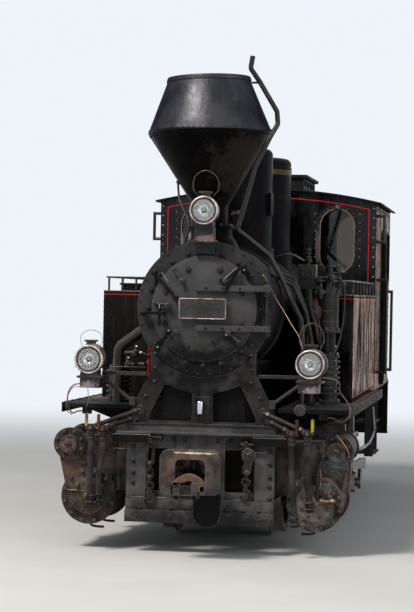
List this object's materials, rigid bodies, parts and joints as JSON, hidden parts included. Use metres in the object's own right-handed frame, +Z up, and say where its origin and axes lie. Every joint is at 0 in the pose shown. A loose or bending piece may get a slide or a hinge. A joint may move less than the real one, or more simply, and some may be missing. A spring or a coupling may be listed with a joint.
{
  "type": "steam locomotive",
  "caption": "Narrow gauge side tank steam locomotive with outside frames, outside cranks and rods, a diamond chimney, tall domes and an open cab; wheels, rods, crossheads and smokebox door move.",
  "frame": {"origin": "centre of the footprint at the bottom of the wheel flanges", "axes": "+Z up, -Y towards the smokebox front, +X across"},
  "size_m": [2.144, 7, 3.5428],
  "materials": {
    "black_paint": "satin, dusty",
    "frame_paint": "matt, oily and dusty",
    "rusty_iron": "rough, rusty",
    "bright_steel": "oiled",
    "wheel_steel": "worn, bright treads",
    "pipe_steel": "satin",
    "board_wood": "weathered",
    "frame_wood": "worn varnish",
    "window_glass": "clear",
    "lamp_lens": "clear, ribbed",
    "tap_brass": "tarnished",
    "hose_rubber": "matt"
  },
  "bodies": {
    "root": {"axleboxes": "frame_paint", "backhead": "black_paint", "boiler": "black_paint", "brake_gear": "frame_paint", "bunker": "black_paint", "cab_floor": "frame_paint", "cab_front": "black_paint", "cab_glass": "window_glass", "cab_left": "black_paint", "cab_rear": "black_paint", "cab_right": "black_paint", "cab_roof": "black_paint", "chimney": "black_paint", "chimney_pipe": "pipe_steel", "couplers": "rusty_iron", "coupling_chains": "rusty_iron", "cylinder_left": "black_paint", "cylinder_right": "black_paint", "firebox": "black_paint", "frame_left": "frame_paint", "frame_right": "frame_paint", "frame_stretchers": "frame_paint", "front_beam": "black_paint", "front_plate": "black_paint", "handrails": "pipe_steel", "hose_left_inner": "hose_rubber", "hose_left_outer": "hose_rubber", "hose_right_inner": "hose_rubber", "hose_right_outer": "hose_rubber", "hose_taps": "tap_brass", "lamp_cable": "hose_rubber", "lamp_glass": "lamp_lens", "lamps": "black_paint", "leaf_springs": "frame_paint", "pumps": "frame_paint", "rear_beam": "black_paint", "running_boards": "board_wood", "saddle": "black_paint", "sand_dome": "black_paint", "slide_bars": "bright_steel", "smokebox": "black_paint", "steam_dome": "black_paint", "steam_pipes": "pipe_steel", "steps": "frame_paint", "tank_left": "black_paint", "tank_racks": "black_paint", "tank_right": "black_paint", "valve_gear": "bright_steel", "window_frames": "frame_wood"},
    "wheelset_1": {"wheelset_1": "wheel_steel"},
    "wheelset_2": {"wheelset_2": "wheel_steel"},
    "wheelset_3": {"wheelset_3": "wheel_steel"},
    "wheelset_4": {"wheelset_4": "wheel_steel"},
    "coupling_rod_right": {"coupling_rod_right": "bright_steel"},
    "crosshead_right": {"crosshead_right": "bright_steel"},
    "main_rod_right": {"main_rod_right": "bright_steel"},
    "coupling_rod_left": {"coupling_rod_left": "bright_steel"},
    "crosshead_left": {"crosshead_left": "bright_steel"},
    "main_rod_left": {"main_rod_left": "bright_steel"},
    "smokebox_door": {"smokebox_door": "black_paint"}
  },
  "joints": [
    {"name": "wheel_3_turn", "type": "hinge", "parent": "root", "child": "wheelset_3", "pos_m": [0, 0.05, 0.375], "axis": [1, 0, 0], "continuous": true},
    {"name": "wheel_1_turn", "type": "hinge", "parent": "root", "child": "wheelset_1", "pos_m": [0, -1.75, 0.375], "axis": [1, 0, 0], "continuous": true},
    {"name": "wheel_2_turn", "type": "hinge", "parent": "root", "child": "wheelset_2", "pos_m": [0, -0.85, 0.375], "axis": [1, 0, 0], "continuous": true},
    {"name": "wheel_4_turn", "type": "hinge", "parent": "root", "child": "wheelset_4", "pos_m": [0, 0.95, 0.375], "axis": [1, 0, 0], "continuous": true},
    {"name": "coupling_rod_right_swing", "type": "hinge", "parent": "wheelset_3", "child": "coupling_rod_right", "pos_m": [0.655, -0.05607, 0.26893], "axis": [1, 0, 0], "continuous": true},
    {"name": "crosshead_right_slide", "type": "slide", "parent": "root", "child": "crosshead_right", "axis": [0, 1, 0], "range_m": [-0.04655, 0.25345]},
    {"name": "main_rod_right_swing", "type": "hinge", "parent": "crosshead_right", "child": "main_rod_right", "pos_m": [0.81, -2.20345, 0.375], "axis": [1, 0, 0], "range_deg": [-1.17, 6.83]},
    {"name": "coupling_rod_left_swing", "type": "hinge", "parent": "wheelset_3", "child": "coupling_rod_left", "pos_m": [-0.655, 0.15607, 0.26893], "axis": [1, 0, 0], "continuous": true},
    {"name": "crosshead_left_slide", "type": "slide", "parent": "root", "child": "crosshead_left", "axis": [0, 1, 0], "range_m": [-0.25868, 0.04132]},
    {"name": "main_rod_left_swing", "type": "hinge", "parent": "crosshead_left", "child": "main_rod_left", "pos_m": [-0.81, -1.99132, 0.375], "axis": [1, 0, 0], "range_deg": [-1.17, 6.83]},
    {"name": "smokebox_door_hinge", "type": "hinge", "parent": "root", "child": "smokebox_door", "pos_m": [0.452, -3.046, 1.725], "axis": [0, 0, 1], "range_deg": [0, 105]}
  ],
  "couplings": [
    {"joint": "wheel_1_turn", "follows": "wheel_3_turn", "ratio": 1},
    {"joint": "wheel_2_turn", "follows": "wheel_3_turn", "ratio": 1},
    {"joint": "wheel_4_turn", "follows": "wheel_3_turn", "ratio": 1},
    {"joint": "coupling_rod_right_swing", "follows": "wheel_3_turn", "ratio": -1},
    {"joint": "coupling_rod_left_swing", "follows": "wheel_3_turn", "ratio": -1}
  ]
}
